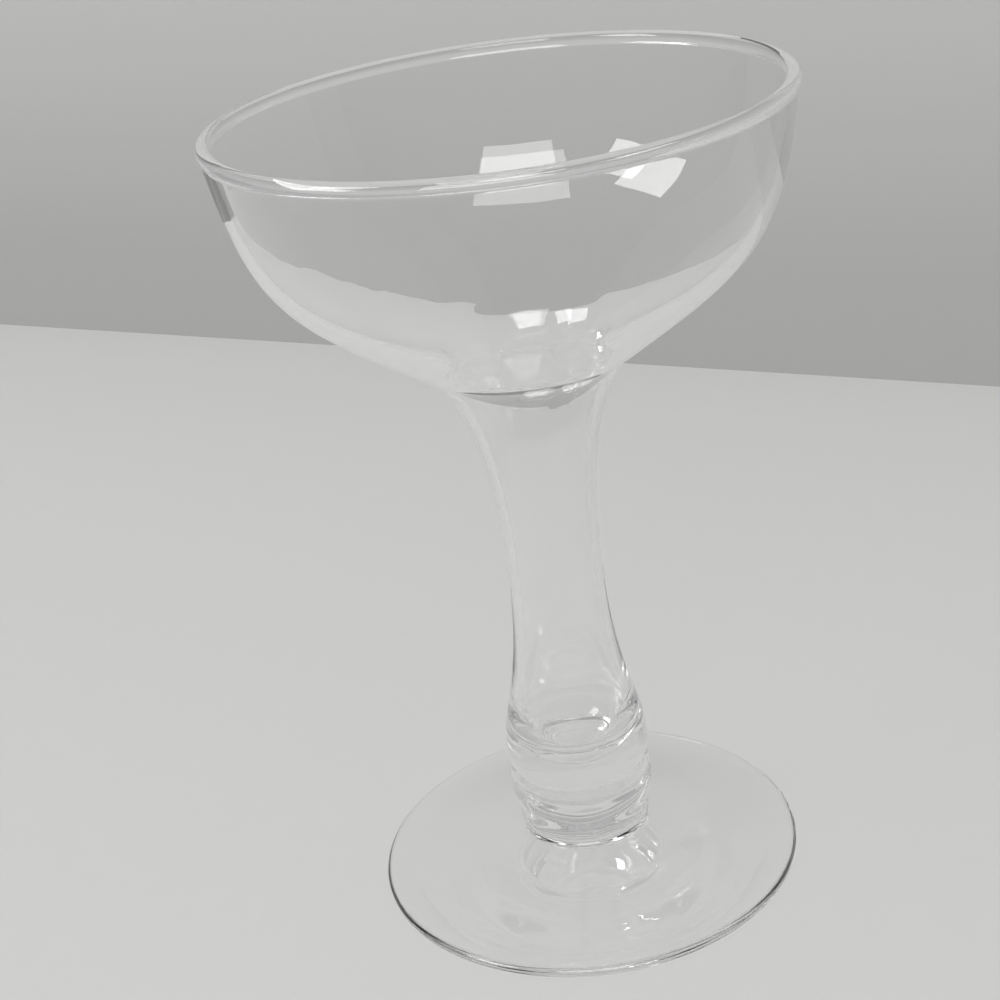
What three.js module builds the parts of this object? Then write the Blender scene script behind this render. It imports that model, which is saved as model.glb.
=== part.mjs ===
// Hollow-stem champagne saucer in clear glass.
// Millimetres, +Z up, the origin at the middle of the foot on the table.
// Four fused pieces, each turned about the Z axis: foot, knop, hollow stem and bowl.

import * as THREE from 'three';

// Foot: a round pressed disc with a rounded edge, rising to a boss under the knop
const FOOT_DIAMETER = 71.7;
const FOOT_EDGE_THICKNESS = 1.9;
const FOOT_EDGE_ROUND = 1.2;
const FOOT_HEIGHT = 7.6;
const FOOT_SLOPE_REACH = 7;
const BOSS_SLOPE = 4;
const BOSS_SLOPE_REACH = 5;
const CONTACT_RING_WIDTH = 4.2;
const UNDERSIDE_HOLLOW = 0.9;

// Knop: the solid button between foot and stem
const KNOP_HEIGHT = 11.6;
const KNOP_BASE_DIAMETER = 21;
const KNOP_FILLET = 1.2;
const KNOP_FILLET_REACH = 0.6;
const KNOP_BASE_SLOPE = 76;
const KNOP_SHOULDER_DIAMETER = 24.2;
const KNOP_SHOULDER_RISE = 8;
const KNOP_SWELL_REACH = 2.6;
const CREASE_DIAMETER = 22.6;
const CREASE_REACH = 1.7;
const CREASE_SLOPE = 62;

// Stem: a drawn hollow stem, a bulb below, a waist, and a flare into the bowl
const STEM_HEIGHT = 68.8;
const BULB_DIAMETER = 24;
const BULB_RISE = 4.1;
const BULB_REACH = 6.8;
const BULB_WALL = 1.8;
const WAIST_DIAMETER = 15.5;
const WAIST_RISE = 36.8;
const WAIST_REACH_DOWN = 20.5;
const WAIST_REACH_UP = 14;
const WAIST_WALL = 1.5;
const STEM_TOP_DIAMETER = 26.1;
const STEM_TOP_SLOPE = 61.5;
const STEM_TOP_REACH = 8;
const STEM_TOP_WALL = 1.9;
const HOLLOW_FLOOR = 1.4;
const HOLLOW_TURN = 13.4;
const HOLLOW_REACH_DOWN = 7.5;
const HOLLOW_REACH_IN = 6;

// Bowl: a wide saucer whose heel turns out of the flare, leaning out to a melted round lip
const BOWL_HEIGHT = 45;
const BOWL_START_REACH = 4.9;
const HEEL_DIAMETER = 39.9;
const HEEL_RISE = 6.8;
const HEEL_SLOPE = 36.1;
const HEEL_REACH_DOWN = 4.1;
const HEEL_REACH_UP = 21.4;
const HEEL_WALL = 1.85;
const SIDE_TOP_DIAMETER = 88;
const SIDE_TOP_SLOPE = 81;
const SIDE_TOP_REACH = 22;
const SIDE_TOP_WALL = 1.3;
const LIP_HEIGHT = 2.4;
const LIP_REACH = 0.5;
const LIP_BEAD = 2.2;
const RIM_DIAMETER = 88.8;

// Smoothness of the turned faces
const ROUND_FACETS = 48;
const LONG_CURVE_STEPS = 12;
const CURVE_STEPS = 8;
const SHORT_CURVE_STEPS = 5;
const SMALL_CURVE_STEPS = 3;

// Heights of the seams, each piece standing on the one below
const KNOP_BASE = FOOT_HEIGHT;
const STEM_BASE = KNOP_BASE + KNOP_HEIGHT;
const BOWL_BASE = STEM_BASE + STEM_HEIGHT;

const UP = new THREE.Vector2(0, 1);
const INWARDS = new THREE.Vector2(-1, 0);

/** A point of a half-section: distance from the axis, and height. */
function point(radius, height) {
  return new THREE.Vector2(radius, height);
}

/** A unit direction that climbs outwards at a slope given in degrees from level. */
function climbing(slope) {
  const angle = THREE.MathUtils.degToRad(slope);
  return point(Math.cos(angle), Math.sin(angle));
}

/** A cubic curve that leaves and arrives along given directions, each for its own reach. */
function sweep(start, leaving, startReach, end, arriving, endReach) {
  const first = start.clone().addScaledVector(leaving, startReach);
  const second = end.clone().addScaledVector(arriving, -endReach);
  return new THREE.CubicBezierCurve(start, first, second, end);
}

/** Points along an ellipse between two angles in degrees, about a centre. */
function arc(centre, radiusOut, radiusUp, fromDegrees, toDegrees, steps) {
  const from = THREE.MathUtils.degToRad(fromDegrees);
  const to = THREE.MathUtils.degToRad(toDegrees);
  const clockwise = to < from;
  const curve = new THREE.EllipseCurve(centre.x, centre.y, radiusOut, radiusUp, from, to, clockwise);
  return curve.getPoints(steps);
}

/** Points along a rising outer curve, set inwards by a wall that tapers from end to end. */
function insidePoints(curve, startWall, endWall, steps) {
  return Array.from({ length: steps + 1 }, (_, step) => {
    const along = step / steps;
    const tangent = curve.getTangent(along);
    const inwards = point(-tangent.y, tangent.x);
    const wall = THREE.MathUtils.lerp(startWall, endWall, along);
    return curve.getPoint(along).addScaledVector(inwards, wall);
  });
}

/** A chain of points without the doubles where two stretches meet. */
function chain(...stretches) {
  const closest = 1e-6;
  return stretches.flat().filter((here, index, all) => {
    return index === 0 || here.distanceTo(all[index - 1]) > closest;
  });
}

/** The rising chain of points cut at a height: the part below and the part above. */
function cutAt(points, height) {
  const next = points.findIndex((here) => here.y > height);
  const share = (height - points[next - 1].y) / (points[next].y - points[next - 1].y);
  const crossing = points[next - 1].clone().lerp(points[next], share);
  crossing.y = height;
  return {
    below: chain(points.slice(0, next), [crossing]),
    above: chain([crossing], points.slice(next)),
  };
}

/** A mesh turned from a half-section whose points run counter-clockwise, at a height. */
function turned(name, section, base, finish) {
  const geometry = new THREE.LatheGeometry(section, ROUND_FACETS);
  geometry.rotateX(Math.PI / 2);
  const mesh = new THREE.Mesh(geometry, new THREE.MeshStandardMaterial(finish));
  mesh.name = name;
  mesh.position.z = base;
  return mesh;
}

/** The foot: a shallow hollow below, a flat contact ring, a round edge and a low boss. */
function makeFoot() {
  const edgeRadius = FOOT_DIAMETER / 2;
  const contactOuter = edgeRadius - FOOT_EDGE_ROUND;
  const contactInner = contactOuter - CONTACT_RING_WIDTH;
  const halfEdge = FOOT_EDGE_THICKNESS / 2;
  const bossRadius = KNOP_BASE_DIAMETER / 2 + KNOP_FILLET;
  const hollow = new THREE.QuadraticBezierCurve(
    point(0, UNDERSIDE_HOLLOW),
    point(contactInner / 2, UNDERSIDE_HOLLOW),
    point(contactInner, 0),
  );
  const edge = arc(point(contactOuter, halfEdge), FOOT_EDGE_ROUND, halfEdge, -90, 90, CURVE_STEPS);
  const top = sweep(
    point(contactOuter, FOOT_EDGE_THICKNESS),
    INWARDS,
    FOOT_SLOPE_REACH,
    point(bossRadius, FOOT_HEIGHT),
    climbing(180 - BOSS_SLOPE),
    BOSS_SLOPE_REACH,
  );
  const section = chain(
    hollow.getPoints(SHORT_CURVE_STEPS),
    edge,
    top.getPoints(CURVE_STEPS),
    [point(0, FOOT_HEIGHT)],
  );
  return turned('foot', section, 0, { color: 0xe6ebe9, roughness: 0.08, metalness: 0 });
}

/** The knop: solid, leaning out from a melted fillet to a shoulder, then in to the crease. */
function makeKnop() {
  const edge = point(KNOP_BASE_DIAMETER / 2 + KNOP_FILLET, 0);
  const base = point(KNOP_BASE_DIAMETER / 2, KNOP_FILLET);
  const shoulder = point(KNOP_SHOULDER_DIAMETER / 2, KNOP_SHOULDER_RISE);
  const crease = point(CREASE_DIAMETER / 2, KNOP_HEIGHT);
  const rising = climbing(180 - BOSS_SLOPE);
  const leaning = climbing(KNOP_BASE_SLOPE);
  const closing = climbing(180 - CREASE_SLOPE);
  const fillet = sweep(edge, rising, KNOP_FILLET_REACH, base, leaning, KNOP_FILLET_REACH);
  const swell = sweep(base, leaning, KNOP_SWELL_REACH, shoulder, UP, KNOP_SWELL_REACH);
  const turn = sweep(shoulder, UP, CREASE_REACH, crease, closing, CREASE_REACH);
  const section = chain(
    [point(0, 0)],
    fillet.getPoints(SMALL_CURVE_STEPS),
    swell.getPoints(CURVE_STEPS),
    turn.getPoints(SHORT_CURVE_STEPS),
    [point(0, KNOP_HEIGHT)],
  );
  return turned('knop', section, KNOP_BASE, { color: 0xe2e8e5, roughness: 0.04, metalness: 0 });
}

/** The one glass wall of stem and bowl, outside and inside, measured from the stem's base. */
function makeWall() {
  const bulb = point(BULB_DIAMETER / 2, BULB_RISE);
  const waist = point(WAIST_DIAMETER / 2, WAIST_RISE);
  const stemTop = point(STEM_TOP_DIAMETER / 2, STEM_HEIGHT);
  const heel = point(HEEL_DIAMETER / 2, STEM_HEIGHT + HEEL_RISE);
  const sideTop = point(SIDE_TOP_DIAMETER / 2, STEM_HEIGHT + BOWL_HEIGHT - LIP_HEIGHT);
  const flaring = climbing(STEM_TOP_SLOPE);
  const opening = climbing(HEEL_SLOPE);
  const leaning = climbing(SIDE_TOP_SLOPE);
  const stretches = [
    {
      curve: sweep(bulb, UP, BULB_REACH, waist, UP, WAIST_REACH_DOWN),
      walls: [BULB_WALL, WAIST_WALL],
      steps: CURVE_STEPS,
    },
    {
      curve: sweep(waist, UP, WAIST_REACH_UP, stemTop, flaring, STEM_TOP_REACH),
      walls: [WAIST_WALL, STEM_TOP_WALL],
      steps: CURVE_STEPS,
    },
    {
      curve: sweep(stemTop, flaring, BOWL_START_REACH, heel, opening, HEEL_REACH_DOWN),
      walls: [STEM_TOP_WALL, HEEL_WALL],
      steps: SHORT_CURVE_STEPS,
    },
    {
      curve: sweep(heel, opening, HEEL_REACH_UP, sideTop, leaning, SIDE_TOP_REACH),
      walls: [HEEL_WALL, SIDE_TOP_WALL],
      steps: LONG_CURVE_STEPS,
    },
  ];
  const outside = chain(...stretches.map(({ curve, steps }) => curve.getPoints(steps)));
  const inside = chain(
    ...stretches.map(({ curve, walls, steps }) => insidePoints(curve, ...walls, steps)),
  );
  return { outside: cutAt(outside, STEM_HEIGHT), inside: cutAt(inside, STEM_HEIGHT) };
}

/** The stem: a thin wall round a hollow that closes to a round bottom inside the bulb. */
function makeStem(wall) {
  const crease = point(CREASE_DIAMETER / 2, 0);
  const bulb = wall.outside.below[0];
  const hollow = cutAt(wall.inside.below, HOLLOW_TURN).above;
  const downwards = hollow[0].clone().sub(hollow[1]).normalize();
  const swell = sweep(crease, climbing(CREASE_SLOPE), CREASE_REACH, bulb, UP, CREASE_REACH);
  const bottom = sweep(
    hollow[0],
    downwards,
    HOLLOW_REACH_DOWN,
    point(0, HOLLOW_FLOOR),
    INWARDS,
    HOLLOW_REACH_IN,
  );
  const section = chain(
    [point(0, 0)],
    swell.getPoints(SHORT_CURVE_STEPS),
    wall.outside.below,
    hollow.toReversed(),
    bottom.getPoints(CURVE_STEPS),
  );
  return turned('stem', section, STEM_BASE, { color: 0xe8edeb, roughness: 0.03, metalness: 0 });
}

/** The bowl: the wall above the stem, closed at the top by the round bead of the lip. */
function makeBowl(wall) {
  const lowered = (here) => point(here.x, here.y - STEM_HEIGHT);
  const outside = wall.outside.above.map(lowered);
  const inside = wall.inside.above.map(lowered);
  const beadRadius = LIP_BEAD / 2;
  const bead = point(RIM_DIAMETER / 2 - beadRadius, BOWL_HEIGHT - beadRadius);
  const beadOuter = point(bead.x + beadRadius, bead.y);
  const beadInner = point(bead.x - beadRadius, bead.y);
  const leaning = climbing(SIDE_TOP_SLOPE);
  const outerLip = sweep(outside.at(-1), leaning, LIP_REACH, beadOuter, UP, LIP_REACH);
  const innerLip = sweep(inside.at(-1), leaning, LIP_REACH, beadInner, UP, LIP_REACH);
  const section = chain(
    outside,
    outerLip.getPoints(SMALL_CURVE_STEPS),
    arc(bead, beadRadius, beadRadius, 0, 180, CURVE_STEPS),
    innerLip.getPoints(SMALL_CURVE_STEPS).toReversed(),
    inside.toReversed(),
    [outside[0].clone()],
  );
  return turned('bowl', section, BOWL_BASE, { color: 0xecf0ee, roughness: 0.03, metalness: 0 });
}

const wall = makeWall();
const glass = new THREE.Group();
glass.add(makeFoot(), makeKnop(), makeStem(wall), makeBowl(wall));

export default glass;
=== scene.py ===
"""Looks of a hollow-stem champagne saucer in clear glass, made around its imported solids.

Metres, +Z up, the origin at the middle of the foot on the table. Each piece of the glass is
a half-section of smooth runs turned about the Z axis, with shading normals taken from the
curves themselves, so that the fused pieces show no line where they meet.
"""

import logging
import math
from dataclasses import dataclass, field
from enum import Enum, IntEnum

import bpy
import numpy as np
from mathutils import Matrix, Vector


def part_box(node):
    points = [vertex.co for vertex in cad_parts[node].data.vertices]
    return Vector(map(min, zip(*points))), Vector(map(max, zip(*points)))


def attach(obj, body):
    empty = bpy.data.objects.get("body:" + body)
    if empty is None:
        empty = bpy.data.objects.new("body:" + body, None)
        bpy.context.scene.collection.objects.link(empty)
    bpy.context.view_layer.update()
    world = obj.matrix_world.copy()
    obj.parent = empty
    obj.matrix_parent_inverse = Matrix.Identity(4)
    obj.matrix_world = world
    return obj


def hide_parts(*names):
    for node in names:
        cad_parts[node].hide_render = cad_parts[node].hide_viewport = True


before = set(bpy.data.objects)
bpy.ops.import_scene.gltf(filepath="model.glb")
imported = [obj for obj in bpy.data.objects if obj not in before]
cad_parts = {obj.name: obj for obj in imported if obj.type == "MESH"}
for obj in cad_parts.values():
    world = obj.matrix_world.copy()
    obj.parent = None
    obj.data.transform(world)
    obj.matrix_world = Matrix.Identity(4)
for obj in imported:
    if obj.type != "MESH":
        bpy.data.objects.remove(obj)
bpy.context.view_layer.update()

BODY = "root"
FLAT_STEPS = 2
MILLIMETRES_PER_METRE = 1000
Point = np.ndarray | tuple[float, float]
LOG = logging.getLogger("champagne_glass")


class Face(IntEnum):
    """Material slots of a turned piece."""

    GLASS = 0
    FUSED_SEAM = 1


class Way(Enum):
    """Headings of a half-section, as (outwards, upwards)."""

    UP = (0.0, 1.0)
    OUT = (1.0, 0.0)
    IN = (-1.0, 0.0)

    def vector(self) -> np.ndarray:
        """The heading as an array."""
        return np.array(self.value)


def climbing(slope: float) -> np.ndarray:
    """A unit heading that climbs outwards.

    Args:
        slope: Degrees from level; past 90 it leans inwards.

    Returns:
        The cosine and the sine of the slope.
    """
    return np.array([math.cos(math.radians(slope)), math.sin(math.radians(slope))])


@dataclass(frozen=True)
class Edge:
    """The ring where the outsides of two pieces meet.

    Attributes:
        radius: Metres from the axis.
        slope: Degrees from level at which an outside runs into it.
    """

    radius: float
    slope: float

    def at(self, height: float) -> np.ndarray:
        """Its point of a half-section, at a height."""
        return np.array([self.radius, height])

    def outwards(self) -> np.ndarray:
        """The heading that climbs outwards there."""
        return climbing(self.slope)

    def inwards(self) -> np.ndarray:
        """The heading that climbs inwards there."""
        return climbing(180.0 - self.slope)


@dataclass(frozen=True)
class Run:
    """One smooth run of a half-section, in the order it is travelled.

    Attributes:
        points: Radius and height of each point.
        headings: Unit heading at each point.
        face: The material slot of the faces that it sweeps.
    """

    points: np.ndarray
    headings: np.ndarray
    face: Face = Face.GLASS

    def backwards(self) -> "Run":
        """The same run travelled from its end to its start."""
        return Run(self.points[::-1], -self.headings[::-1], self.face)


@dataclass(frozen=True)
class Cubic:
    """A cubic curve that leaves and arrives along given headings, each for its own reach.

    Formula: the Bezier blend of the start, the start moved along the leaving heading, the
    end moved back along the arriving heading, and the end.

    Attributes:
        controls: The four control points, one a row.
    """

    controls: np.ndarray

    @classmethod
    def sweep(
        cls,
        start: np.ndarray,
        leaving: np.ndarray,
        start_reach: float,
        end: np.ndarray,
        arriving: np.ndarray,
        end_reach: float,
    ) -> "Cubic":
        """Makes the curve from its ends, headings and reaches.

        Args:
            start: First point.
            leaving: Unit heading at the first point.
            start_reach: How far the curve keeps to that heading.
            end: Last point.
            arriving: Unit heading at the last point.
            end_reach: How far before its end the curve takes that heading.

        Returns:
            The curve.
        """
        first = start + leaving * start_reach
        second = end - arriving * end_reach
        return cls(np.array([start, first, second, end]))

    def at(self, along: np.ndarray) -> np.ndarray:
        """Points of the curve, by the Bernstein weights.

        Args:
            along: Shares of the way, from 0 to 1.

        Returns:
            One point a row.
        """
        back = 1.0 - along
        weights = np.stack([back**3, 3 * back**2 * along, 3 * back * along**2, along**3], axis=1)
        return weights @ self.controls

    def velocity(self, along: np.ndarray) -> np.ndarray:
        """First derivative of the points by the share of the way.

        Args:
            along: Shares of the way, from 0 to 1.

        Returns:
            One derivative a row.
        """
        back = 1.0 - along
        weights = np.stack([back**2, 2 * back * along, along**2], axis=1)
        return weights @ (3 * np.diff(self.controls, axis=0))

    def acceleration(self, along: np.ndarray) -> np.ndarray:
        """Second derivative of the points by the share of the way."""
        weights = np.stack([1.0 - along, along], axis=1)
        return weights @ (6 * np.diff(self.controls, n=2, axis=0))

    def run(self, along: np.ndarray) -> Run:
        """The curve itself as a run.

        Args:
            along: Shares of the way to put points at.

        Returns:
            Points and headings.
        """
        velocity = self.velocity(along)
        return Run(self.at(along), velocity / np.linalg.norm(velocity, axis=1, keepdims=True))

    def inside(self, along: np.ndarray, start_wall: float, end_wall: float) -> Run:
        """The run that lies a wall's thickness to the left of the curve.

        Formula: each point moves along the left-hand normal by the wall, which eases from
        end to end as 3t^2 - 2t^3. The heading is the derivative of that, the curve's speed
        times (1 - wall times curvature) along it plus the wall's rate of change across it.

        Args:
            along: Shares of the way to put points at.
            start_wall: Wall thickness at the start.
            end_wall: Wall thickness at the end.

        Returns:
            Points and headings of the inner face, in the curve's own order.
        """
        velocity, acceleration = self.velocity(along), self.acceleration(along)
        speed = np.linalg.norm(velocity, axis=1, keepdims=True)
        tangent = velocity / speed
        normal = np.stack([-tangent[:, 1], tangent[:, 0]], axis=1)
        turning = velocity[:, 0] * acceleration[:, 1] - velocity[:, 1] * acceleration[:, 0]
        curvature = turning[:, None] / speed**3
        eased = (along**2 * (3 - 2 * along))[:, None]
        rate = (6 * along * (1 - along))[:, None] * (end_wall - start_wall)
        wall = start_wall + eased * (end_wall - start_wall)
        heading = speed * (1 - wall * curvature) * tangent + rate * normal
        heading /= np.linalg.norm(heading, axis=1, keepdims=True)
        return Run(self.at(along) + wall * normal, heading)


def shares(steps: int) -> np.ndarray:
    """Evenly spaced shares of the way from 0 to 1."""
    return np.linspace(0.0, 1.0, steps + 1)


def arc(
    centre: Point, radii: tuple[float, float], start: float, end: float, steps: int
) -> Run:
    """A run along an ellipse.

    Formula: the centre plus (outward radius times the cosine, upward radius times the
    sine) of an angle that goes evenly from start to end.

    Args:
        centre: Middle of the ellipse.
        radii: Outward and upward radius.
        start: First angle in degrees.
        end: Last angle in degrees.
        steps: Number of steps.

    Returns:
        Points and headings.
    """
    angle = np.radians(np.linspace(start, end, steps + 1))
    circle = np.stack([np.cos(angle), np.sin(angle)], axis=1)
    onward = np.stack([-np.sin(angle), np.cos(angle)], axis=1) * np.sign(end - start)
    heading = onward * np.array(radii)
    return Run(
        np.asarray(centre) + circle * np.array(radii),
        heading / np.linalg.norm(heading, axis=1, keepdims=True),
    )


def straight(start: Point, end: Point, steps: int, face: Face = Face.GLASS) -> Run:
    """A run along a straight line.

    Args:
        start: First point.
        end: Last point.
        steps: Number of steps.
        face: Material slot of its faces.

    Returns:
        Points and headings.
    """
    start, end = np.asarray(start, float), np.asarray(end, float)
    points = start + shares(steps)[:, None] * (end - start)
    heading = (end - start) / np.linalg.norm(end - start)
    return Run(points, np.tile(heading, (steps + 1, 1)), face)


def turned(name: str, runs: list[Run], facets: int) -> bpy.types.Object:
    """Turns a half-section into a closed mesh about the Z axis.

    Formula: a point (radius, height) at an angle is (radius times the cosine, radius times
    the sine, height). The runs go counter-clockwise, so the normal is the heading turned a
    quarter to the right, carried round by the same angle. Points on the axis are one vertex.

    Args:
        name: Name of the object.
        runs: The runs in order. They start and end on the axis, or close on themselves.
        facets: Facets of a full turn.

    Returns:
        The object, at the origin.
    """
    on_axis = 1e-9
    angle = np.arange(facets) * (2 * math.pi / facets)
    cosine, sine = np.cos(angle), np.sin(angle)
    section = np.concatenate([run.points[:-1] for run in runs] + [runs[-1].points[-1:]])
    closes = np.allclose(section[0], section[-1], atol=on_axis)
    if closes:
        section = section[:-1]
    pole = section[:, 0] < on_axis
    first = np.concatenate([[0], np.cumsum(np.where(pole, 1, facets))[:-1]])
    ring = first[:, None] + np.where(pole[:, None], 0, np.arange(facets)[None, :])
    radius, height = np.where(pole, 0.0, section[:, 0])[:, None], section[:, 1][:, None]
    spread = np.stack(
        [radius * cosine, radius * sine, np.broadcast_to(height, ring.shape)], axis=2
    )
    vertices = np.zeros((ring.max() + 1, 3))
    vertices[ring.ravel()] = spread.reshape(-1, 3)

    starts = np.arange(len(section) if closes else len(section) - 1)
    ends = (starts + 1) % len(section)
    across = np.roll(np.arange(facets), -1)
    quads = np.stack(
        [ring[starts], ring[starts][:, across], ring[ends][:, across], ring[ends]], axis=2
    )
    heading = np.stack(
        [
            np.concatenate([run.headings[:-1] for run in runs]),
            np.concatenate([run.headings[1:] for run in runs]),
        ],
        axis=1,
    )
    outward, upward = heading[:, :, 1], -heading[:, :, 0]
    corner_end = np.array([0, 0, 1, 1])
    out = outward[:, corner_end][:, None, :]
    up = upward[:, corner_end][:, None, :]
    corner_angle = np.stack([angle, angle[across], angle[across], angle], axis=1)[None]
    rise = np.broadcast_to(up, quads.shape)
    normals = np.stack([out * np.cos(corner_angle), out * np.sin(corner_angle), rise], axis=3)
    slot = np.concatenate([np.full(len(run.points) - 1, int(run.face)) for run in runs])
    slot = np.repeat(slot[:, None], facets, axis=1)

    keep = np.ones(quads.shape, bool)
    keep[pole[starts], :, 1] = False
    keep[pole[ends], :, 2] = False
    sides = keep.sum(axis=2).ravel()
    mesh = bpy.data.meshes.new(name)
    mesh.vertices.add(len(vertices))
    mesh.vertices.foreach_set("co", vertices.astype(np.float32).ravel())
    mesh.loops.add(int(sides.sum()))
    mesh.loops.foreach_set("vertex_index", quads[keep].astype(np.int32))
    mesh.polygons.add(len(sides))
    mesh.polygons.foreach_set("loop_start", np.concatenate([[0], np.cumsum(sides)[:-1]]))
    mesh.polygons.foreach_set("material_index", slot.ravel().astype(np.int32))
    mesh.update(calc_edges=True)
    mesh.shade_smooth()
    mesh.normals_split_custom_set(normals[keep].astype(np.float32))
    mesh.validate()
    piece = bpy.data.objects.new(name, mesh)
    bpy.context.scene.collection.objects.link(piece)
    return piece


class NodeGroup:
    """A shader node group under construction, with named sockets."""

    def __init__(self, name: str, inputs: dict[str, tuple[str, object]], outputs: dict[str, str]):
        """Makes the group and its sockets.

        Args:
            name: Name of the group.
            inputs: For each input, its socket type and default value.
            outputs: For each output, its socket type.
        """
        self.tree = bpy.data.node_groups.new(name, "ShaderNodeTree")
        for label, (kind, value) in inputs.items():
            socket = self.tree.interface.new_socket(label, in_out="INPUT", socket_type=kind)
            if value is not None:
                socket.default_value = value
        for label, kind in outputs.items():
            self.tree.interface.new_socket(label, in_out="OUTPUT", socket_type=kind)
        self.start = self.tree.nodes.new("NodeGroupInput").outputs
        self.end = self.tree.nodes.new("NodeGroupOutput").inputs

    def node(self, kind: str, **settings: object) -> bpy.types.Node:
        """Adds a node.

        Args:
            kind: The node's type.
            settings: Its properties by name.

        Returns:
            The node.
        """
        made = self.tree.nodes.new(kind)
        for label, value in settings.items():
            setattr(made, label, value)
        return made

    def feed(self, socket: bpy.types.NodeSocket, source: object) -> None:
        """Links a socket to a source, or sets its value.

        Args:
            socket: The input socket.
            source: An output socket, or a plain value.
        """
        if isinstance(source, bpy.types.NodeSocket):
            self.tree.links.new(source, socket)
        else:
            socket.default_value = source

    def maths(self, operation: str, first: object, second: object) -> bpy.types.NodeSocket:
        """A Math node's result.

        Args:
            operation: The operation's name.
            first: First socket or number.
            second: Second socket or number.

        Returns:
            The output socket.
        """
        made = self.node("ShaderNodeMath", operation=operation)
        self.feed(made.inputs[0], first)
        self.feed(made.inputs[1], second)
        return made.outputs[0]

    def spread(
        self, value: object, between: tuple[float, float], ends: tuple[object, object]
    ) -> bpy.types.NodeSocket:
        """A Map Range node's smooth result.

        Args:
            value: The socket that is mapped.
            between: The values that map to the ends.
            ends: The results there, as numbers or sockets.

        Returns:
            The output socket.
        """
        made = self.node("ShaderNodeMapRange", interpolation_type="SMOOTHSTEP")
        self.feed(made.inputs["Value"], value)
        made.inputs["From Min"].default_value, made.inputs["From Max"].default_value = between
        self.feed(made.inputs["To Min"], ends[0])
        self.feed(made.inputs["To Max"], ends[1])
        return made.outputs["Result"]

    def noise(self, vector: object, scale: object, detail: float) -> bpy.types.NodeSocket:
        """A Noise Texture's value.

        Args:
            vector: Coordinates.
            scale: Waves in a metre.
            detail: Octaves.

        Returns:
            The output socket.
        """
        made = self.node("ShaderNodeTexNoise")
        self.feed(made.inputs["Vector"], vector)
        self.feed(made.inputs["Scale"], scale)
        made.inputs["Detail"].default_value = detail
        return made.outputs["Fac"]


def melt_waves_group() -> bpy.types.NodeTree:
    """The slow waves that hot working leaves in glass, as a height.

    Returns:
        A group whose Height is broad noise plus a share of finer noise, both drawn out
        along Z by the Drawn input.
    """
    group = NodeGroup(
        "melt_waves",
        {
            "Vector": ("NodeSocketVector", None),
            "Waves per Metre": ("NodeSocketFloat", None),
            "Drawn": ("NodeSocketFloat", None),
            "Fine Share": ("NodeSocketFloat", None),
        },
        {"Height": "NodeSocketFloat"},
    )
    fine_times = 3.7
    broad_octaves, fine_octaves = 1.0, 2.0
    stretch = group.node("ShaderNodeCombineXYZ")
    stretch.inputs["X"].default_value = stretch.inputs["Y"].default_value = 1.0
    group.feed(stretch.inputs["Z"], group.start["Drawn"])
    drawn = group.node("ShaderNodeVectorMath", operation="MULTIPLY")
    group.feed(drawn.inputs[0], group.start["Vector"])
    group.feed(drawn.inputs[1], stretch.outputs["Vector"])
    waves = group.start["Waves per Metre"]
    fine_waves = group.maths("MULTIPLY", waves, fine_times)
    broad = group.noise(drawn.outputs["Vector"], waves, broad_octaves)
    fine = group.noise(drawn.outputs["Vector"], fine_waves, fine_octaves)
    share = group.maths("MULTIPLY", fine, group.start["Fine Share"])
    group.feed(group.end["Height"], group.maths("ADD", broad, share))
    return group.tree


def handling_marks_group() -> bpy.types.NodeTree:
    """Faint smears of handling, and scuffs where the glass stands, as a roughness.

    Returns:
        A group whose Roughness runs from Polished to Smeared over broad noise, and up to
        Scuffed in broken scratches below Scuff Height.
    """
    group = NodeGroup(
        "handling_marks",
        {
            "Vector": ("NodeSocketVector", None),
            "Polished": ("NodeSocketFloat", None),
            "Smeared": ("NodeSocketFloat", None),
            "Smears per Metre": ("NodeSocketFloat", 45.0),
            "Scuffed": ("NodeSocketFloat", 0.04),
            "Scuff Height": ("NodeSocketFloat", None),
        },
        {"Roughness": "NodeSocketFloat"},
    )
    smear_edges, scratch_edges = (0.52, 0.78), (0.42, 0.62)
    smear_octaves, scratch_octaves = 3.0, 4.0
    scratches_per_metre = 900.0
    vector = group.start["Vector"]
    smears = group.noise(vector, group.start["Smears per Metre"], smear_octaves)
    clean = group.spread(smears, smear_edges, (group.start["Polished"], group.start["Smeared"]))
    height = group.node("ShaderNodeSeparateXYZ")
    group.feed(height.inputs[0], vector)
    low = group.maths("LESS_THAN", height.outputs["Z"], group.start["Scuff Height"])
    scratches = group.noise(vector, scratches_per_metre, scratch_octaves)
    broken = group.spread(scratches, scratch_edges, (0.0, group.start["Scuffed"]))
    scuffs = group.maths("MULTIPLY", low, broken)
    group.feed(group.end["Roughness"], group.maths("MAXIMUM", clean, scuffs))
    return group.tree


def mixed(
    tree: bpy.types.NodeTree,
    factor: bpy.types.NodeSocket,
    first: bpy.types.NodeSocket,
    second: bpy.types.NodeSocket,
) -> bpy.types.NodeSocket:
    """A Mix Shader node's result.

    Args:
        tree: The material's nodes.
        factor: 0 for the first shader, 1 for the second.
        first: First shader.
        second: Second shader.

    Returns:
        The output socket.
    """
    made = tree.nodes.new("ShaderNodeMixShader")
    tree.links.new(factor, made.inputs["Fac"])
    tree.links.new(first, made.inputs[1])
    tree.links.new(second, made.inputs[2])
    return made.outputs["Shader"]


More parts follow.
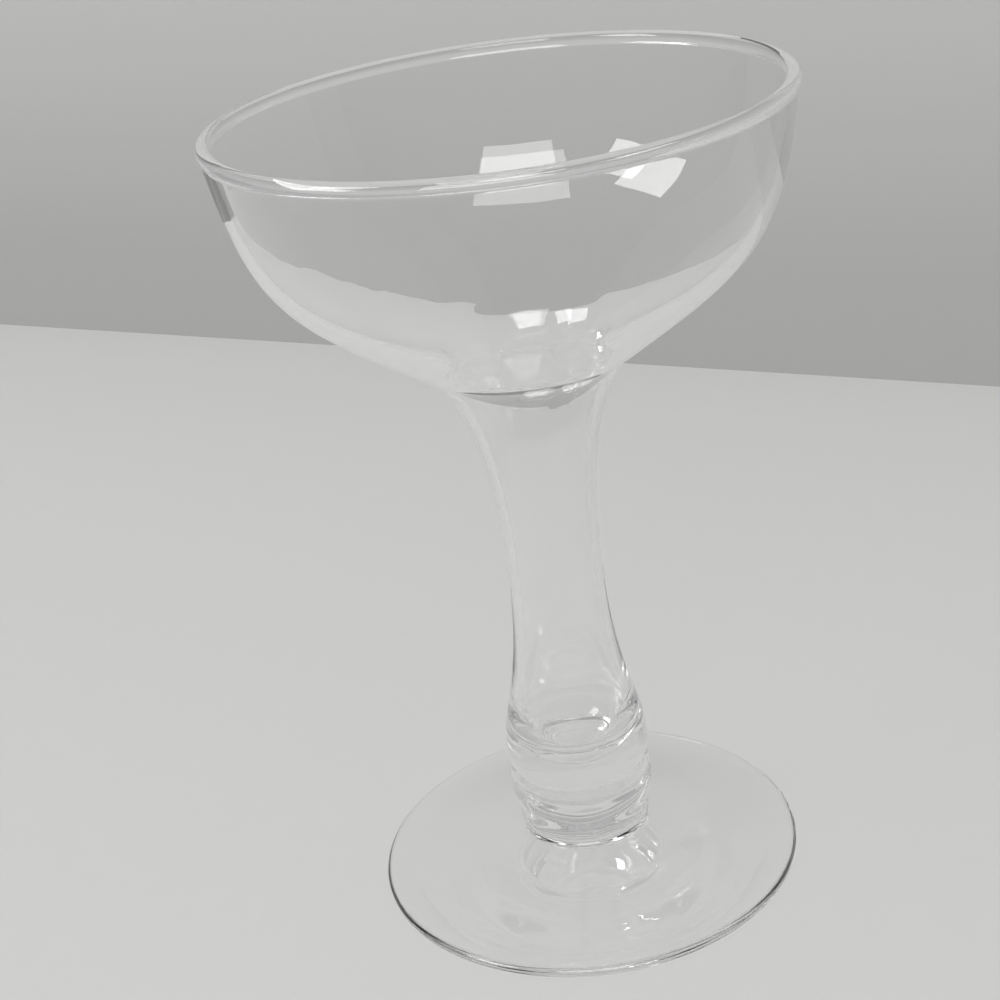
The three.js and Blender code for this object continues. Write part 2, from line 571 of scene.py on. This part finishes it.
def placed(
    tree: bpy.types.NodeTree,
    group: bpy.types.NodeTree,
    place: bpy.types.NodeSocket,
    values: dict[str, float],
) -> bpy.types.Node:
    """Places a shared node group in a material.

    Args:
        tree: The material's nodes.
        group: The group.
        place: Coordinates for its Vector.
        values: Its other inputs by name.

    Returns:
        The group's node.
    """
    made = tree.nodes.new("ShaderNodeGroup")
    made.node_tree = group
    tree.links.new(place, made.inputs["Vector"])
    for label, value in values.items():
        made.inputs[label].default_value = value
    return made


@dataclass(frozen=True)
class GlassFinish:
    """One clear-glass finish.

    Attributes:
        name: Name of the material.
        waves_per_metre: How close the slow waves lie.
        wave_height: Height of the waves in metres.
        drawn: Share of the waves' closeness that is left along Z.
        fine_share: Share of finer waves on the slow ones.
        tint: Colour that the glass passes.
        shade: Colour that its shadow passes at each face.
        ior: Index of refraction.
        polished: Roughness where it is clean.
        smeared: Roughness where it has been handled.
        scuff_height: Height in metres below which the glass is scuffed.
        mirrors_once: Whether light that it has mirrored then passes it straight, as it
            leaves a thin wall.
    """

    name: str
    waves_per_metre: float
    wave_height: float
    drawn: float = 1.0
    fine_share: float = 0.2
    tint: tuple[float, float, float] = (0.995, 0.996, 0.995)
    shade: tuple[float, float, float] = (0.985, 0.986, 0.984)
    ior: float = 1.51
    polished: float = 0.0
    smeared: float = 0.03
    scuff_height: float = -1.0
    mirrors_once: bool = False

    def material(self, groups: dict[str, bpy.types.NodeTree]) -> bpy.types.Material:
        """Builds the material.

        Lamps and the light of matt surfaces pass the glass straight, so that it casts a
        soft shadow, and so does mirrored light where the finish mirrors once. All else
        that is seen in it or through it bends as in real glass.

        Args:
            groups: The shared node groups by name.

        Returns:
            The material.
        """
        made = bpy.data.materials.new(self.name)
        made.use_nodes = True
        tree = made.node_tree
        tree.nodes.clear()
        glass = tree.nodes.new("ShaderNodeBsdfPrincipled")
        glass.inputs["Base Color"].default_value = (*self.tint, 1.0)
        glass.inputs["IOR"].default_value = self.ior
        glass.inputs["Transmission Weight"].default_value = 1.0
        place = tree.nodes.new("ShaderNodeTexCoord").outputs["Object"]

        handling = {
            "Polished": self.polished,
            "Smeared": self.smeared,
            "Scuff Height": self.scuff_height,
        }
        marks = placed(tree, groups["handling_marks"], place, handling)
        tree.links.new(marks.outputs["Roughness"], glass.inputs["Roughness"])

        melting = {
            "Waves per Metre": self.waves_per_metre,
            "Drawn": self.drawn,
            "Fine Share": self.fine_share,
        }
        waves = placed(tree, groups["melt_waves"], place, melting)
        bump = tree.nodes.new("ShaderNodeBump")
        bump.inputs["Distance"].default_value = self.wave_height
        tree.links.new(waves.outputs["Height"], bump.inputs["Height"])
        tree.links.new(bump.outputs["Normal"], glass.inputs["Normal"])

        shadow = tree.nodes.new("ShaderNodeBsdfTransparent")
        shadow.inputs["Color"].default_value = (*self.shade, 1.0)
        path = tree.nodes.new("ShaderNodeLightPath").outputs
        for_lamps = mixed(tree, path["Is Shadow Ray"], glass.outputs["BSDF"], shadow.outputs["BSDF"])
        surface = mixed(tree, path["Is Diffuse Ray"], for_lamps, shadow.outputs["BSDF"])
        if self.mirrors_once:
            clear = tree.nodes.new("ShaderNodeBsdfTransparent")
            surface = mixed(tree, path["Is Reflection Ray"], surface, clear.outputs["BSDF"])
        tree.links.new(surface, tree.nodes.new("ShaderNodeOutputMaterial").inputs["Surface"])
        return made


def fused_seam_material() -> bpy.types.Material:
    """The face where two pieces are melted into one glass.

    Returns:
        A material of which nothing shows.
    """
    made = bpy.data.materials.new("fused_seam")
    made.use_nodes = True
    glass = made.node_tree.nodes["Principled BSDF"]
    glass.inputs["Transmission Weight"].default_value = 1.0
    glass.inputs["Alpha"].default_value = 0.0
    return made


class Workshop:
    """Holds what every piece shares, and fits each finished piece to the frame."""

    def __init__(self) -> None:
        """Makes the shared node groups and the seam's material."""
        self.groups = {
            "melt_waves": melt_waves_group(),
            "handling_marks": handling_marks_group(),
        }
        self.seam = fused_seam_material()

    def fit(self, piece: bpy.types.Object, node: str, finish: GlassFinish) -> None:
        """Dresses a piece, sets it on its body in place of its node and reports it.

        Args:
            piece: The finished mesh object.
            node: The node that it stands for.
            finish: Its glass.
        """
        piece.data.materials.append(finish.material(self.groups))
        piece.data.materials.append(self.seam)
        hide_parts(node)
        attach(piece, BODY)
        heights = [corner[2] for corner in piece.bound_box]
        tall = MILLIMETRES_PER_METRE * (max(heights) - min(heights))
        LOG.info("%s: %d faces, %.1f mm tall", piece.name, len(piece.data.polygons), tall)


@dataclass
class Foot:
    """The pressed foot: a shallow hollow below, a contact ring, a round edge and a low boss."""

    radius: float
    height: float
    boss: Edge
    edge_thickness: float = 0.0019
    edge_round: float = 0.0012
    slope_reach: float = 0.007
    boss_reach: float = 0.005
    contact_width: float = 0.0042
    hollow: float = 0.0009
    facets: int = 224
    steps: int = 28
    finish: GlassFinish = GlassFinish(
        "pressed_foot_glass",
        waves_per_metre=60.0,
        wave_height=0.0001,
        smeared=0.05,
        scuff_height=0.00002,
    )

    def runs(self) -> list[Run]:
        """The half-section from the middle of the underside round to the boss.

        Returns:
            The runs in order. The dish of the underside is a parabola raised to a cubic,
            whose inner controls lie two thirds of the way to the parabola's knee.
        """
        outer = self.radius - self.edge_round
        inner = outer - self.contact_width
        half = self.edge_thickness / 2
        under = np.array([0.0, self.hollow])
        ring = np.array([inner, 0.0])
        knee = np.array([inner / 2, self.hollow])
        boss = self.boss.at(self.height)
        dish = Cubic(
            np.array([under, under + (knee - under) * 2 / 3, ring + (knee - ring) * 2 / 3, ring])
        )
        top = Cubic.sweep(
            np.array([outer, self.edge_thickness]), Way.IN.vector(), self.slope_reach,
            boss, self.boss.inwards(), self.boss_reach,
        )
        return [
            dish.run(shares(self.steps)),
            straight(ring, (outer, 0.0), FLAT_STEPS),
            arc((outer, half), (self.edge_round, half), -90.0, 90.0, self.steps),
            top.run(shares(2 * self.steps)),
            straight(boss, (0.0, self.height), FLAT_STEPS, Face.FUSED_SEAM),
        ]

    def build(self, workshop: Workshop) -> None:
        """Makes, dresses and fits the foot."""
        piece = turned("glass_foot", self.runs(), self.facets)
        workshop.fit(piece, "foot", self.finish)


@dataclass
class Knop:
    """The solid button between foot and stem, drawn in to a crease under the bulb."""

    base: float
    height: float
    boss: Edge
    shoulder_radius: float
    crease: Edge
    fillet: float = 0.0012
    fillet_reach: float = 0.0006
    base_slope: float = 76.0
    shoulder_rise: float = 0.008
    swell_reach: float = 0.0026
    crease_reach: float = 0.0017
    facets: int = 160
    steps: int = 20
    finish: GlassFinish = GlassFinish(
        "solid_knop_glass",
        waves_per_metre=70.0,
        wave_height=0.0008,
        fine_share=0.0,
        shade=(0.86, 0.86, 0.855),
    )

    def runs(self) -> list[Run]:
        """The half-section from the middle of the base round to the middle of the top.

        Returns:
            The runs in order.
        """
        top = self.base + self.height
        boss, crease = self.boss.at(self.base), self.crease.at(top)
        base = boss + np.array([-self.fillet, self.fillet])
        shoulder = np.array([self.shoulder_radius, self.base + self.shoulder_rise])
        up = Way.UP.vector()
        rising, closing = self.boss.inwards(), self.crease.inwards()
        leaning = climbing(self.base_slope)
        melted = Cubic.sweep(boss, rising, self.fillet_reach, base, leaning, self.fillet_reach)
        swell = Cubic.sweep(base, leaning, self.swell_reach, shoulder, up, self.swell_reach)
        turn = Cubic.sweep(shoulder, up, self.crease_reach, crease, closing, self.crease_reach)
        return [
            straight((0.0, self.base), boss, FLAT_STEPS, Face.FUSED_SEAM),
            melted.run(shares(self.steps)),
            swell.run(shares(self.steps)),
            turn.run(shares(self.steps)),
            straight(crease, (0.0, top), FLAT_STEPS, Face.FUSED_SEAM),
        ]

    def build(self, workshop: Workshop) -> None:
        """Makes, dresses and fits the knop."""
        piece = turned("glass_knop", self.runs(), self.facets)
        workshop.fit(piece, "knop", self.finish)


@dataclass
class VesselWall:
    """The one thin wall of stem and bowl, cut level where the two are fused."""

    stem_base: float
    seam: float
    seam_radius: float
    rim: float
    rim_radius: float
    bulb_radius: float = 0.012
    bulb_rise: float = 0.0041
    bulb_reach: float = 0.0068
    bulb_wall: float = 0.0018
    waist_radius: float = 0.00775
    waist_rise: float = 0.0368
    waist_reach_down: float = 0.0205
    waist_reach_up: float = 0.014
    waist_wall: float = 0.0015
    seam_slope: float = 61.5
    seam_reach_down: float = 0.008
    seam_reach_up: float = 0.0049
    seam_wall: float = 0.0019
    heel_radius: float = 0.01995
    heel_rise: float = 0.0068
    heel_slope: float = 36.1
    heel_reach_down: float = 0.0041
    heel_reach_up: float = 0.0214
    heel_wall: float = 0.00185
    side_top_radius: float = 0.044
    side_top_slope: float = 81.0
    side_top_reach: float = 0.022
    side_top_wall: float = 0.0013
    lip_height: float = 0.0024
    steps: int = 56
    seam_steps: int = 4
    search_steps: int = 4000

    def curves(self) -> list[tuple[Cubic, float, float]]:
        """The outer curves from the bulb to the lip.

        Returns:
            Each curve with the wall's thickness at its start and at its end.
        """
        up = Way.UP.vector()
        bulb = np.array([self.bulb_radius, self.stem_base + self.bulb_rise])
        waist = np.array([self.waist_radius, self.stem_base + self.waist_rise])
        seam = np.array([self.seam_radius, self.seam])
        heel = np.array([self.heel_radius, self.seam + self.heel_rise])
        side_top = np.array([self.side_top_radius, self.rim - self.lip_height])
        flaring, opening = climbing(self.seam_slope), climbing(self.heel_slope)
        leaning = climbing(self.side_top_slope)
        return [
            (
                Cubic.sweep(bulb, up, self.bulb_reach, waist, up, self.waist_reach_down),
                self.bulb_wall,
                self.waist_wall,
            ),
            (
                Cubic.sweep(waist, up, self.waist_reach_up, seam, flaring, self.seam_reach_down),
                self.waist_wall,
                self.seam_wall,
            ),
            (
                Cubic.sweep(seam, flaring, self.seam_reach_up, heel, opening, self.heel_reach_down),
                self.seam_wall,
                self.heel_wall,
            ),
            (
                Cubic.sweep(
                    heel, opening, self.heel_reach_up, side_top, leaning, self.side_top_reach
                ),
                self.heel_wall,
                self.side_top_wall,
            ),
        ]

    def inside_share(self, curve: Cubic, start_wall: float, end_wall: float, level: float) -> float:
        """The share of a rising curve at which its inner face reaches a level.

        Args:
            curve: The outer curve.
            start_wall: Wall thickness at its start.
            end_wall: Wall thickness at its end.
            level: The height that is looked for.

        Returns:
            The share of the way, from 0 to 1.
        """
        fine = shares(self.search_steps)
        rising = curve.inside(fine, start_wall, end_wall).points[:, 1]
        return float(np.interp(level, rising, fine))

    def stem_outside(self) -> list[Run]:
        """Outer runs of the stem, upwards."""
        lower, flare = self.curves()[:2]
        return [lower[0].run(shares(self.steps)), flare[0].run(shares(self.steps))]

    def stem_inside(self, level: float) -> list[Run]:
        """Inner runs of the stem, upwards to the level of the seam.

        Args:
            level: The height in the bulb at which they start.

        Returns:
            The runs in order.
        """
        lower, flare = self.curves()[:2]
        start = self.inside_share(*lower, level)
        cut = self.inside_share(*flare, self.seam)
        return [
            lower[0].inside(start + shares(self.steps) * (1.0 - start), *lower[1:]),
            flare[0].inside(shares(self.steps) * cut, *flare[1:]),
        ]

    def bowl_outside(self) -> list[Run]:
        """Outer runs of the bowl, upwards from the seam."""
        heel, side = self.curves()[2:]
        return [heel[0].run(shares(self.steps // 2)), side[0].run(shares(self.steps))]

    def bowl_inside(self) -> list[Run]:
        """Inner runs of the bowl, upwards from the level of the seam.

        Returns:
            The runs in order, the first of them the rest of the stem's flare.
        """
        _, flare, heel, side = self.curves()
        cut = self.inside_share(*flare, self.seam)
        return [
            flare[0].inside(cut + shares(self.seam_steps) * (1.0 - cut), *flare[1:]),
            heel[0].inside(shares(self.steps // 2), *heel[1:]),
            side[0].inside(shares(self.steps), *side[1:]),
        ]


@dataclass
class Stem:
    """The hollow stem: a bulb on a closed floor, a waist and a flare into the bowl."""

    wall: VesselWall
    crease: Edge
    crease_reach: float = 0.0017
    hollow_floor: float = 0.0014
    hollow_turn: float = 0.0134
    hollow_reach_down: float = 0.0075
    hollow_reach_in: float = 0.006
    facets: int = 160
    steps: int = 16
    finish: GlassFinish = GlassFinish(
        "drawn_stem_glass", waves_per_metre=120.0, wave_height=0.00005, drawn=0.12
    )

    def runs(self) -> list[Run]:
        """The half-section from the middle of the base round to the middle of the bore.

        Returns:
            The runs in order.
        """
        wall, base = self.wall, self.wall.stem_base
        outside, inside = wall.stem_outside(), wall.stem_inside(base + self.hollow_turn)
        crease = self.crease.at(base)
        swell = Cubic.sweep(
            crease, self.crease.outwards(), self.crease_reach,
            outside[0].points[0], Way.UP.vector(), self.crease_reach,
        )
        bottom = Cubic.sweep(
            inside[0].points[0], -inside[0].headings[0], self.hollow_reach_down,
            np.array([0.0, base + self.hollow_floor]), Way.IN.vector(), self.hollow_reach_in,
        )
        return [
            straight((0.0, base), crease, FLAT_STEPS, Face.FUSED_SEAM),
            swell.run(shares(self.steps)),
            *outside,
            straight(outside[-1].points[-1], inside[-1].points[-1], FLAT_STEPS, Face.FUSED_SEAM),
            *[run.backwards() for run in reversed(inside)],
            bottom.run(shares(2 * self.steps)),
        ]

    def build(self, workshop: Workshop) -> None:
        """Makes, dresses and fits the stem."""
        piece = turned("glass_stem", self.runs(), self.facets)
        workshop.fit(piece, "stem", self.finish)


@dataclass
class Bowl:
    """The wide saucer: the wall above the stem, flared and closed by the lip's round bead."""

    wall: VesselWall
    lip_bead: float = 0.0022
    lip_reach: float = 0.0005
    facets: int = 384
    steps: int = 16
    finish: GlassFinish = GlassFinish(
        "blown_bowl_glass", waves_per_metre=40.0, wave_height=0.00008, mirrors_once=True
    )

    def runs(self) -> list[Run]:
        """The half-section up the outside, over the lip, down the inside and along the seam.

        Returns:
            The runs in order.
        """
        outside, inside = self.wall.bowl_outside(), self.wall.bowl_inside()
        half, up = self.lip_bead / 2, Way.UP.vector()
        bead = np.array([self.wall.rim_radius - half, self.wall.rim - half])
        sideways = Way.OUT.vector() * half
        leaning = climbing(self.wall.side_top_slope)
        outer_lip = Cubic.sweep(
            outside[-1].points[-1], leaning, self.lip_reach, bead + sideways, up, self.lip_reach
        )
        inner_lip = Cubic.sweep(
            inside[-1].points[-1], leaning, self.lip_reach, bead - sideways, up, self.lip_reach
        )
        return [
            *outside,
            outer_lip.run(shares(self.steps)),
            arc(bead, (half, half), 0.0, 180.0, self.steps),
            inner_lip.run(shares(self.steps)).backwards(),
            *[run.backwards() for run in reversed(inside)],
            straight(inside[0].points[0], outside[0].points[0], FLAT_STEPS, Face.FUSED_SEAM),
        ]

    def build(self, workshop: Workshop) -> None:
        """Makes, dresses and fits the bowl."""
        piece = turned("glass_bowl", self.runs(), self.facets)
        workshop.fit(piece, "bowl", self.finish)


@dataclass(frozen=True)
class MattFinish:
    """A plain matt finish of the stage.

    Attributes:
        name: Name of the material.
        colour: Its colour.
        painted_light_colour_above: The colour that it grades to with height, if it does; on the
            backdrop this grade is painted light higher up and painted shade near the floor.
        graded: Heights in metres between which it grades.
        one_sided: Whether it is clear when seen from behind.
        roughness: Its roughness.
        specular: Strength of its faint gloss.
    """

    name: str
    colour: tuple[float, float, float]
    painted_light_colour_above: tuple[float, float, float] | None = None
    graded: tuple[float, float] = (0.03, 0.13)
    one_sided: bool = False
    roughness: float = 0.85
    specular: float = 0.2

    def material(self) -> bpy.types.Material:
        """Builds the material.

        Returns:
            A rough surface, graded with height in painted light and shade where the finish grades,
            and clear from behind where it is one-sided.
        """
        made = bpy.data.materials.new(self.name)
        made.use_nodes = True
        nodes, links = made.node_tree.nodes, made.node_tree.links
        paint = nodes["Principled BSDF"]
        paint.inputs["Base Color"].default_value = (*self.colour, 1.0)
        paint.inputs["Roughness"].default_value = self.roughness
        paint.inputs["Specular IOR Level"].default_value = self.specular
        # Painted light and shade: the colour grades lighter with height and stays darker near the
        # floor.
        if self.painted_light_colour_above:
            height = nodes.new("ShaderNodeSeparateXYZ")
            links.new(nodes.new("ShaderNodeTexCoord").outputs["Object"], height.inputs[0])
            grade = nodes.new("ShaderNodeMapRange")
            low, high = self.graded
            grade.inputs["From Min"].default_value = low
            grade.inputs["From Max"].default_value = high
            links.new(height.outputs["Z"], grade.inputs["Value"])
            blend = nodes.new("ShaderNodeMixRGB")
            blend.inputs["Color1"].default_value = (*self.colour, 1.0)
            blend.inputs["Color2"].default_value = (*self.painted_light_colour_above, 1.0)
            links.new(grade.outputs["Result"], blend.inputs["Fac"])
            links.new(blend.outputs["Color"], paint.inputs["Base Color"])
        if self.one_sided:
            clear = nodes.new("ShaderNodeBsdfTransparent").outputs["BSDF"]
            behind = nodes.new("ShaderNodeNewGeometry").outputs["Backfacing"]
            both = mixed(made.node_tree, behind, paint.outputs["BSDF"], clear)
            links.new(both, nodes["Material Output"].inputs["Surface"])
        return made


@dataclass(frozen=True)
class SoftLamp:
    """A rectangular lamp that faces the glass.

    Attributes:
        name: Name of the lamp.
        azimuth: Degrees round from the camera's side, to the camera's right.
        elevation: Degrees above level.
        distance: Metres from the glass.
        width: Metres across.
        height: Metres tall.
        power: Watts.
        through_glass: Whether it shows through the glass, and not only on its faces.
    """

    name: str
    azimuth: float
    elevation: float
    distance: float
    width: float
    height: float
    power: float
    through_glass: bool = True

    def build(self, target: Vector) -> None:
        """Makes the lamp.

        Args:
            target: The point that it faces.
        """
        light = bpy.data.lights.new(self.name, "AREA")
        light.shape = "RECTANGLE"
        light.size, light.size_y, light.energy = self.width, self.height, self.power
        lamp = bpy.data.objects.new(self.name, light)
        turn, up = math.radians(self.azimuth), math.radians(self.elevation)
        towards = Vector(
            (math.sin(turn) * math.cos(up), -math.cos(turn) * math.cos(up), math.sin(up))
        )
        lamp.location = target + towards * self.distance
        lamp.rotation_euler = towards.to_track_quat("Z", "Y").to_euler()
        lamp.visible_transmission = self.through_glass
        bpy.context.scene.collection.objects.link(lamp)


@dataclass
class Studio:
    """The plain stage: a pale floor, a grey backdrop, soft light from all round and two lamps.

    A small dark card beside it shows only as the glass mirrors it, and draws the bowl's edge.
    """

    floor_drop: float = 0.00004
    floor_reach: float = 1.6
    backdrop_distance: float = 0.219
    backdrop_turn: float = 29.3
    backdrop_height: float = 1.2
    card_turn: float = -112.0
    card_distance: float = 0.35
    card_width: float = 0.16
    card_heights: tuple[float, float] = (0.004, 0.12)
    sky_horizon: float = 0.22
    sky_above: float = 0.42
    sky_above_from: float = 0.6
    target: Vector = field(default_factory=lambda: Vector((0.0, 0.0, 0.1)))
    floor_finish: MattFinish = MattFinish("pale_floor", (0.62, 0.62, 0.615))
    # The backdrop is painted darker near the floor and lighter higher up: painted shade and painted
    # light on a plain grey.
    backdrop_finish: MattFinish = MattFinish(
        "grey_backdrop", (0.405, 0.405, 0.4), painted_light_colour_above=(0.52, 0.52, 0.515), one_sided=True
    )
    card_finish: MattFinish = MattFinish("dark_card", (0.12, 0.12, 0.12))
    lamps: tuple[SoftLamp, ...] = (
        SoftLamp(
            "near_window",
            azimuth=-8.0,
            elevation=46.0,
            distance=2.4,
            width=1.3,
            height=1.35,
            power=27.0,
            through_glass=False,
        ),
        SoftLamp(
            "side_window",
            azimuth=-69.0,
            elevation=37.5,
            distance=2.4,
            width=0.85,
            height=0.95,
            power=22.0,
        ),
    )

    def build(self) -> None:
        """Makes the floor, the backdrop, the card, the lamps and the world."""
        reach, level = self.floor_reach, -self.floor_drop
        plan = [(-reach, -reach), (reach, -reach), (reach, reach), (-reach, reach)]
        self.sheet("floor", [(x, y, level) for x, y in plan], self.floor_finish)
        turn = math.radians(self.backdrop_turn)
        away = Vector((math.sin(turn), math.cos(turn), 0.0))
        along = Vector((math.cos(turn), -math.sin(turn), 0.0)) * reach
        middle = away * self.backdrop_distance + Vector((0.0, 0.0, level))
        rise = Vector((0.0, 0.0, self.backdrop_height))
        self.sheet(
            "backdrop",
            [middle - along, middle + along, middle + along + rise, middle - along + rise],
            self.backdrop_finish,
        )
        self.card()
        for lamp in self.lamps:
            lamp.build(self.target)
        self.sky()

    def card(self) -> None:
        """Stands the dark card beside the stage, to be seen mirrored in the glass alone."""
        turn = math.radians(self.card_turn)
        middle = Vector((math.sin(turn), -math.cos(turn), 0.0)) * self.card_distance
        along = Vector((math.cos(turn), math.sin(turn), 0.0)) * (self.card_width / 2)
        low, high = (Vector((0.0, 0.0, height)) for height in self.card_heights)
        left, right = middle - along, middle + along
        corners = [left + low, right + low, right + high, left + high]
        card = self.sheet("card", corners, self.card_finish)
        card.visible_camera = card.visible_transmission = False
        card.visible_diffuse = card.visible_shadow = False

    def sheet(
        self, name: str, corners: list[tuple[float, float, float] | Vector], finish: MattFinish
    ) -> bpy.types.Object:
        """Makes one flat rectangle of the stage.

        Args:
            name: Name of the object.
            corners: Its corners, counter-clockwise from the side that shows.
            finish: Its finish.

        Returns:
            The rectangle.
        """
        mesh = bpy.data.meshes.new(name)
        mesh.from_pydata([tuple(corner) for corner in corners], [], [(0, 1, 2, 3)])
        mesh.materials.append(finish.material())
        rectangle = bpy.data.objects.new(name, mesh)
        bpy.context.scene.collection.objects.link(rectangle)
        return rectangle

    def sky(self) -> None:
        """Lights the stage from all round, brighter from above."""
        world = bpy.data.worlds.new("soft_studio")
        bpy.context.scene.world = world
        world.use_nodes = True
        nodes, links = world.node_tree.nodes, world.node_tree.links
        direction = nodes.new("ShaderNodeTexCoord").outputs["Generated"]
        height = nodes.new("ShaderNodeSeparateXYZ")
        ramp = nodes.new("ShaderNodeValToRGB")
        links.new(direction, height.inputs[0])
        links.new(height.outputs["Z"], ramp.inputs["Fac"])
        low, high = ramp.color_ramp.elements
        low.color = (self.sky_horizon, self.sky_horizon, self.sky_horizon, 1.0)
        high.color = (self.sky_above, self.sky_above, self.sky_above, 1.0)
        high.position = self.sky_above_from
        background = nodes["Background"]
        links.new(ramp.outputs["Color"], background.inputs["Color"])
        background.inputs["Strength"].default_value = 1.0


@dataclass(frozen=True)
class PhotoCamera:
    """The camera at the photograph's place.

    Attributes:
        location: Metres.
        focal_pixels: Focal length in pixels of the photograph.
        frame_pixels: Width of the photograph.
        pitch: Degrees below level.
        yaw: Degrees from +Y to the right.
        roll: Degrees by which the picture is turned.
        sensor_width: Millimetres.
        clip_start: Metres in front of the lens from which things show.
    """

    location: tuple[float, float, float] = (0.0, -0.27225, 0.19205)
    focal_pixels: float = 1859.0
    frame_pixels: float = 1000.0
    pitch: float = 24.39
    yaw: float = -1.56
    roll: float = -7.94
    sensor_width: float = 36.0
    clip_start: float = 0.01

    def build(self) -> None:
        """Makes the camera and gives it to the scene."""
        pitch, yaw, roll = (math.radians(turn) for turn in (self.pitch, self.yaw, self.roll))
        forward = Vector(
            (math.sin(yaw) * math.cos(pitch), math.cos(yaw) * math.cos(pitch), -math.sin(pitch))
        )
        level = Vector((math.cos(yaw), -math.sin(yaw), 0.0))
        upright = level.cross(forward)
        right = math.cos(roll) * level + math.sin(roll) * upright
        up = -math.sin(roll) * level + math.cos(roll) * upright
        facing = Matrix((right, up, -forward)).transposed()
        lens = bpy.data.cameras.new("photo_camera")
        lens.sensor_width = self.sensor_width
        lens.lens = self.sensor_width * self.focal_pixels / self.frame_pixels
        lens.clip_start = self.clip_start
        camera = bpy.data.objects.new("photo_camera", lens)
        camera.matrix_world = Matrix.Translation(self.location) @ facing.to_4x4()
        bpy.context.scene.collection.objects.link(camera)
        bpy.context.scene.camera = camera


def set_light_paths() -> None:
    """Lets light pass all the layers of the glass, with plain colours."""
    layers, mirrorings = 32, 9
    scene = bpy.context.scene
    scene.view_settings.view_transform = "Standard"
    scene.cycles.max_bounces = layers
    scene.cycles.transmission_bounces = layers
    scene.cycles.transparent_max_bounces = layers
    scene.cycles.glossy_bounces = mirrorings


def main() -> None:
    """Builds the stage, the camera and the four pieces of the glass, from the foot up."""
    logging.basicConfig(level=logging.INFO, format="%(message)s")
    set_light_paths()
    PhotoCamera().build()
    Studio().build()

    foot_top, knop_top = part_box("foot")[1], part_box("knop")[1]
    stem_top, bowl_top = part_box("stem")[1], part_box("bowl")[1]
    boss = Edge(radius=0.0117, slope=4.0)
    crease = Edge(radius=0.0113, slope=62.0)
    workshop = Workshop()
    Foot(radius=foot_top.x, height=foot_top.z, boss=boss).build(workshop)
    Knop(
        base=foot_top.z,
        height=knop_top.z - foot_top.z,
        boss=boss,
        shoulder_radius=knop_top.x,
        crease=crease,
    ).build(workshop)
    wall = VesselWall(
        stem_base=knop_top.z,
        seam=stem_top.z,
        seam_radius=stem_top.x,
        rim=bowl_top.z,
        rim_radius=bowl_top.x,
    )
    Stem(wall=wall, crease=crease).build(workshop)
    Bowl(wall=wall).build(workshop)


if __name__ == "__main__":
    main()
